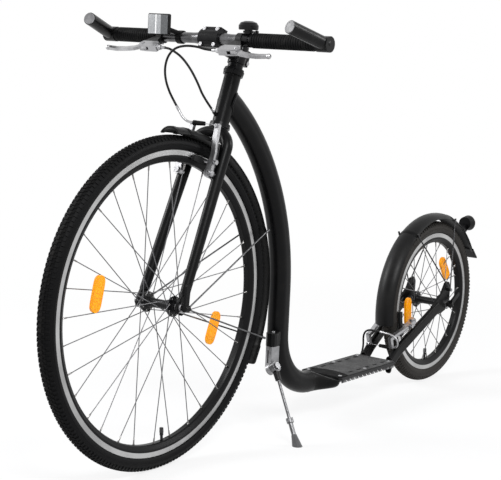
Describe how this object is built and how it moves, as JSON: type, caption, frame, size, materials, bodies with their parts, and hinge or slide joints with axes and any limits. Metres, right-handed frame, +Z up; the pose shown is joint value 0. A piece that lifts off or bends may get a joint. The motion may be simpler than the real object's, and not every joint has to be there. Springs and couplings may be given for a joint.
{
  "type": "kick scooter",
  "caption": "Adult kick scooter with a large front and small rear spoked wheel, low footboard, flat bar, two rim brakes, mudguards and side stand.",
  "frame": {"origin": "on the ground, at the middle of the scooter's length and width as it leans on its side stand", "axes": "+X towards the front wheel along the travel direction, +Y to the rider's left (the side stand's side), +Z up"},
  "size_m": [1.69, 0.5855, 0.9441],
  "materials": {
    "frame_paint": "satin black",
    "silver_metal": "brushed",
    "steel": "bright",
    "black_metal": "black anodised",
    "tyre": "rubber",
    "rubber": "ribbed",
    "black_plastic": "satin",
    "amber": "prismatic",
    "clear_plastic": "ribbed",
    "grit": "gritty",
    "cable_housing": "satin"
  },
  "bodies": {
    "frame": {"head_tube": "frame_paint", "headset_cups": "black_metal", "headset_bearings": "steel", "main_tube": "frame_paint", "deck_plate": "silver_metal", "deck_tread": "grit", "rear_stays": "frame_paint", "rear_dropouts": "frame_paint", "kickstand_lug": "frame_paint", "kickstand_bracket": "silver_metal", "rear_fender": "black_plastic", "rear_fender_stays": "steel", "rear_light": "black_plastic", "rear_brake_studs": "steel", "rear_axle": "steel", "rear_cable": "cable_housing"},
    "steering": {"fork_steerer": "steel", "fork_crown": "frame_paint", "fork_blades": "frame_paint", "fork_dropouts": "frame_paint", "headset_spacers": "black_metal", "stem": "black_metal", "stem_faceplate": "black_metal", "stem_bolts": "steel", "handlebar": "black_metal", "left_grip": "rubber", "right_grip": "rubber", "bar_ends": "black_plastic", "bell": "black_plastic", "front_reflector": "clear_plastic", "left_lever_mount": "silver_metal", "right_lever_mount": "silver_metal", "front_brake_studs": "steel", "front_axle": "steel", "front_fender": "black_plastic", "front_fender_stays": "steel", "front_cable": "cable_housing"},
    "front_wheel": {"front_rim": "silver_metal", "front_tyre": "tyre", "front_inner_tube": "rubber", "front_hub": "black_metal", "front_spokes": "steel", "front_wheel_reflectors": "amber"},
    "rear_wheel": {"rear_rim": "silver_metal", "rear_tyre": "tyre", "rear_inner_tube": "rubber", "rear_hub": "black_metal", "rear_spokes": "steel", "rear_wheel_reflectors": "amber"},
    "left_brake_lever": {"left_brake_lever": "silver_metal"},
    "right_brake_lever": {"right_brake_lever": "silver_metal"},
    "bell_striker": {"bell_striker": "black_plastic"},
    "front_quick_release": {"front_quick_release": "black_metal"},
    "rear_quick_release": {"rear_quick_release": "black_metal"},
    "kickstand_leg": {"kickstand_leg": "silver_metal"},
    "kickstand_foot": {"kickstand_foot": "silver_metal"},
    "left_front_arm": {"left_front_brake_arm": "silver_metal"},
    "right_front_arm": {"right_front_brake_arm": "silver_metal"},
    "left_rear_arm": {"left_rear_brake_arm": "silver_metal"},
    "right_rear_arm": {"right_rear_brake_arm": "silver_metal"}
  },
  "joints": [
    {"name": "steering_turn", "type": "hinge", "parent": "frame", "child": "steering", "pos_m": [0.30548, -0.00721, 0.75782], "axis": [-0.342, 0.0525, 0.9382], "range_deg": [-50, 50], "deforming": ["rear_cable"]},
    {"name": "front_wheel_spin", "type": "hinge", "parent": "steering", "child": "front_wheel", "pos_m": [0.498, -0.03021, 0.34646], "axis": [0, 0.9984, -0.0558], "continuous": true},
    {"name": "rear_wheel_spin", "type": "hinge", "parent": "frame", "child": "rear_wheel", "pos_m": [-0.622, -0.03758, 0.21466], "axis": [0, 0.9984, -0.0558], "continuous": true},
    {"name": "left_lever_pull", "type": "hinge", "parent": "steering", "child": "left_brake_lever", "pos_m": [0.399, 0.09265, 0.86001], "axis": [0.4895, 0.0487, 0.8706], "range_deg": [0, 18], "stiffness_Nm_per_rad": 1.5, "springref_deg": -17.19},
    {"name": "right_lever_pull", "type": "hinge", "parent": "steering", "child": "right_brake_lever", "pos_m": [0.399, -0.15496, 0.87386], "axis": [-0.4895, -0.0487, -0.8706], "range_deg": [0, 18], "stiffness_Nm_per_rad": 1.5, "springref_deg": -17.19},
    {"name": "left_front_arm_swing", "type": "hinge", "parent": "steering", "child": "left_front_arm", "pos_m": [0.40685, 0.02469, 0.61179], "axis": [0.9397, 0.0191, 0.3415], "range_deg": [0, 2.4]},
    {"name": "right_front_arm_swing", "type": "hinge", "parent": "steering", "child": "right_front_arm", "pos_m": [0.40685, -0.05519, 0.61626], "axis": [-0.9397, -0.0191, -0.3415], "range_deg": [0, 2.4], "deforming": ["front_cable"]},
    {"name": "left_rear_arm_swing", "type": "hinge", "parent": "frame", "child": "left_rear_arm", "pos_m": [-0.47399, 0.00066, 0.18202], "axis": [-0.342, -0.0525, -0.9382], "range_deg": [0, 2.4], "deforming": ["rear_cable"]},
    {"name": "right_rear_arm_swing", "type": "hinge", "parent": "frame", "child": "right_rear_arm", "pos_m": [-0.47399, -0.07921, 0.18649], "axis": [0.342, 0.0525, 0.9382], "range_deg": [0, 2.4]},
    {"name": "bell_striker_flick", "type": "hinge", "parent": "steering", "child": "bell_striker", "pos_m": [0.36063, 0.09231, 0.89863], "axis": [0, 0.0558, 0.9984], "range_deg": [-20, 20], "stiffness_Nm_per_rad": 0.05},
    {"name": "front_release_turn", "type": "hinge", "parent": "steering", "child": "front_quick_release", "pos_m": [0.498, 0.03799, 0.34265], "axis": [-0.9962, -0.0049, -0.087], "range_deg": [0, 170]},
    {"name": "rear_release_turn", "type": "hinge", "parent": "frame", "child": "rear_quick_release", "pos_m": [-0.622, 0.03062, 0.21085], "axis": [-0.5, -0.0483, -0.8647], "range_deg": [0, 170]},
    {"name": "kickstand_fold", "type": "hinge", "parent": "frame", "child": "kickstand_leg", "pos_m": [0.136, -0.00054, 0.16051], "axis": [0, 0.8765, 0.4815], "range_deg": [0, 100]},
    {"name": "kickstand_adjust", "type": "slide", "parent": "kickstand_leg", "child": "kickstand_foot", "axis": [0.2083, 0.4709, -0.8572], "range_m": [-0.025, 0.01]}
  ],
  "couplings": [
    {"joint": "left_front_arm_swing", "follows": "left_lever_pull", "ratio": 0.13333},
    {"joint": "right_front_arm_swing", "follows": "left_lever_pull", "ratio": 0.13333},
    {"joint": "left_rear_arm_swing", "follows": "right_lever_pull", "ratio": 0.13333},
    {"joint": "right_rear_arm_swing", "follows": "right_lever_pull", "ratio": 0.13333}
  ]
}
